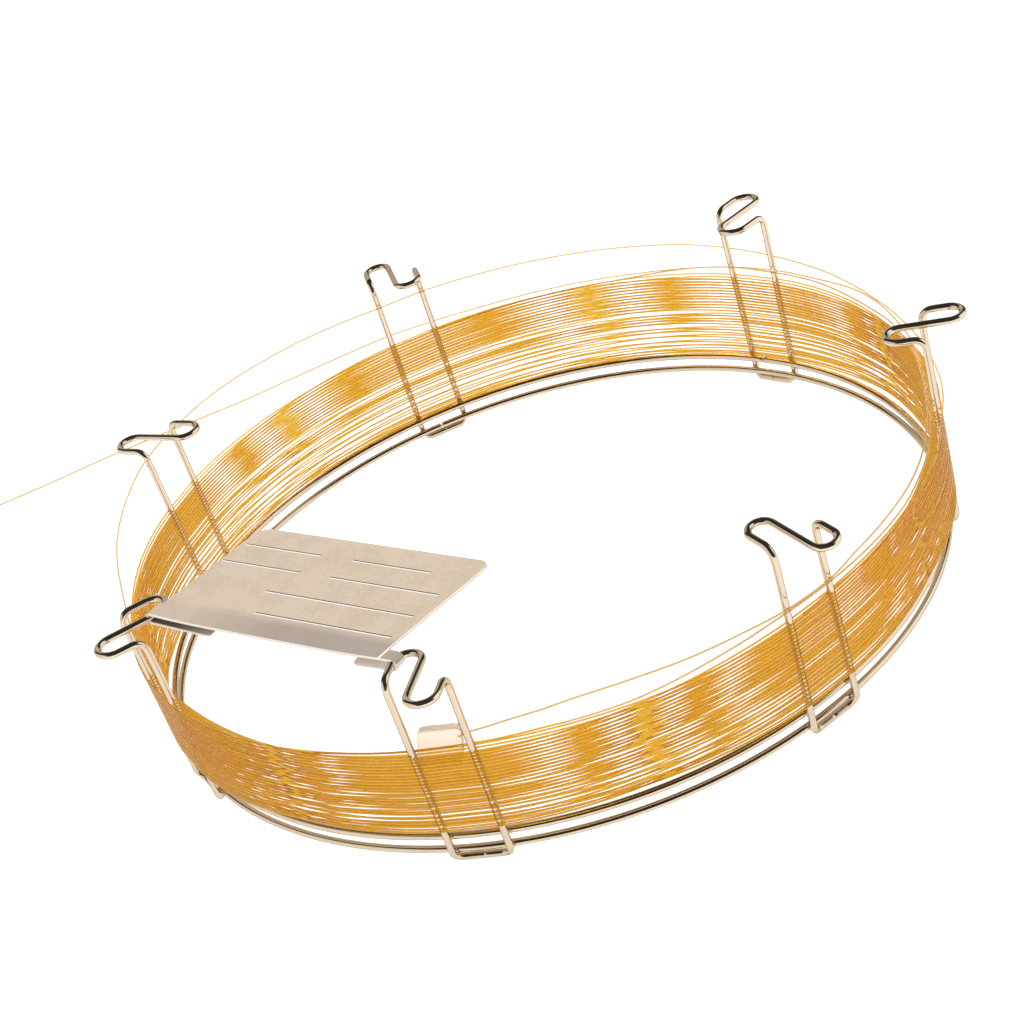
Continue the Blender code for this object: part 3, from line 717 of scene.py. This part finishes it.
def photo_camera():
    """The camera at the photograph's angle, looking at the lower hoop's middle before its roll, pan and tilt."""
    focus, centre_x, centre_y, size = 2024.94, 524.30, 755.31, 1024  # pixels
    distance = 5.0913  # in radii of the leg circle
    elevation, roll, pan, tilt = 0.5612, 0.3248, 0.0406, -0.0788  # radians
    place = distance * np.array([0, -np.cos(elevation), np.sin(elevation)])
    right = np.array([1.0, 0, 0])
    ahead = -place / distance
    up = np.cross(right, ahead)

    def rotation(axis, angle):
        return np.array(Matrix.Rotation(angle, 3, axis))

    look = rotation("Z", roll) @ rotation("X", tilt) @ rotation("Y", pan) @ np.stack([right, up, ahead])
    camera = bpy.data.cameras.new("photo_camera")
    camera.sensor_width = 36
    camera.lens = focus / size * 36
    camera.shift_x = (size / 2 - centre_x) / size
    camera.shift_y = (centre_y - size / 2) / size
    camera.clip_start, camera.clip_end = 0.01, 10
    holder = bpy.data.objects.new("photo_camera", camera)
    spot = (place * LEG_CIRCLE + (0, 0, 2.55) + CAGE_AXIS) * MM  # 2.55: the hoop's height in the fit
    turn = Matrix(np.stack([look[0], look[1], -look[2]], 1).tolist()).to_4x4()
    holder.matrix_world = Matrix.Translation(spot) @ turn
    bpy.context.scene.collection.objects.link(holder)
    bpy.context.scene.camera = holder


def studio(tree):
    """What a gloss sees round the white floor: soft boxes and reflectors, as in SOFTBOXES, in a dark room."""
    direction = add(tree, "TexCoord")
    height = add(tree, "SeparateXYZ", links={0: (direction, "Generated")})
    dimming = {"From Min": HORIZON[0], "From Max": HORIZON[1], "To Min": 1.0, "To Max": DARK_ROOM}
    seen = add(tree, "MapRange", values=dimming, links={"Value": (height, "Z")})
    for azimuth, elevation, half, strength in SOFTBOXES:
        around, up = radians(azimuth), radians(elevation)
        middle = (np.cos(around) * np.cos(up), np.sin(around) * np.cos(up), np.sin(up))
        toward = add(tree, "VectorMath", {"operation": "DOT_PRODUCT"}, {1: middle}, {0: (direction, "Generated")})
        begins, full = (np.cos(radians(half + edge)) for edge in (SOFTBOX_EDGE, -SOFTBOX_EDGE))
        box = add(tree, "MapRange", values={"From Min": begins, "From Max": full, "To Max": strength},
                  links={"Value": (toward, "Value")})
        seen = math_node(tree, "MAXIMUM", (seen, 0), (box, 0))
    return seen


def make_world(scene):
    """An even pale light from all round. The camera sees white, and so does a ray that goes through the tubing."""
    world = bpy.data.worlds.new("studio")
    scene.world = world
    world.use_nodes = True
    tree = world.node_tree
    tree.nodes.clear()
    path = add(tree, "LightPath")
    seen = studio(tree)
    shade = add(tree, "Mix", {"data_type": "FLOAT"}, {2: ROOM_LIGHT}, {0: (path, "Is Glossy Ray"), 3: (seen, 0)})
    clear = math_node(tree, "MAXIMUM", (path, "Is Transmission Ray"), (shade, 0))
    direct = math_node(tree, "MAXIMUM", (path, "Is Camera Ray"), (clear, 0))
    back = add(tree, "Background", values={"Color": (1, 1, 1, 1)}, links={"Strength": (direct, 0)})
    out = add(tree, "OutputWorld")
    tree.links.new(back.outputs[0], out.inputs["Surface"])


def make_floor(scene):
    """A white paper sweep that keeps the object's shadow."""
    floor = bpy.data.meshes.new("floor")
    corners = [(-FLOOR_HALF, -FLOOR_HALF, 0), (FLOOR_HALF, -FLOOR_HALF, 0),
               (FLOOR_HALF, FLOOR_HALF, 0), (-FLOOR_HALF, FLOOR_HALF, 0)]
    floor.from_pydata(corners, [], [(0, 1, 2, 3)])
    material = bpy.data.materials.new("white_sweep")
    material.use_nodes = True
    tree = material.node_tree
    tree.nodes.clear()
    paper = add(tree, "BsdfDiffuse", values={"Color": (FLOOR_TONE, FLOOR_TONE, FLOOR_TONE, 1)})
    path = add(tree, "LightPath")
    shiny = math_node(tree, "MAXIMUM", (path, "Is Glossy Ray"), (path, "Is Transmission Ray"))
    seen = math_node(tree, "MULTIPLY", (shiny, 0), FLOOR_IN_GLOSS)
    bright = math_node(tree, "MULTIPLY_ADD", (path, "Is Camera Ray"), FLOOR_LIFT, (seen, 0))
    lift = add(tree, "Emission", values={"Color": (1, 1, 1, 1)}, links={"Strength": (bright, 0)})
    both = add(tree, "AddShader", links={0: (paper, 0), 1: (lift, 0)})
    out = add(tree, "OutputMaterial")
    tree.links.new(both.outputs[0], out.inputs["Surface"])
    floor.materials.append(material)
    holder = bpy.data.objects.new("floor", floor)
    scene.collection.objects.link(holder)


def light_and_floor():
    """The studio: what is seen round the object, what it stands on, and the lamps."""
    scene = bpy.context.scene
    scene.view_settings.view_transform = "Standard"
    make_world(scene)
    make_floor(scene)
    for name, spot, size, power in LAMPS:
        lamp = bpy.data.lights.new(name, "AREA")
        lamp.shape, lamp.size, lamp.energy = "DISK", size, power
        holder = bpy.data.objects.new(name, lamp)
        holder.location = spot
        holder.visible_glossy = False  # steel shows the studio's soft boxes, and not these lamps too
        holder.rotation_euler = (-holder.location).to_track_quat("-Z", "Y").to_euler()
        scene.collection.objects.link(holder)


def main():
    """Builds the camera, every piece and the studio."""
    photo_camera()
    random = np.random.default_rng(SEED)
    silica = coated_silica("polyimide_coated_silica", ("#E9B236", "#EFBD40", "#F5C94C"))
    # A strand on its own lets more light by than the crowded turns: its paler colours are painted light for that.
    single = coated_silica("polyimide_coated_silica_single", ("#E2BC78", "#E7C382", "#ECCA8C"))
    make_tubing(silica, single, random)
    make_cage(stainless_wire())
    make_tag(tag_sheet())
    make_seal(silicone())
    light_and_floor()


main()
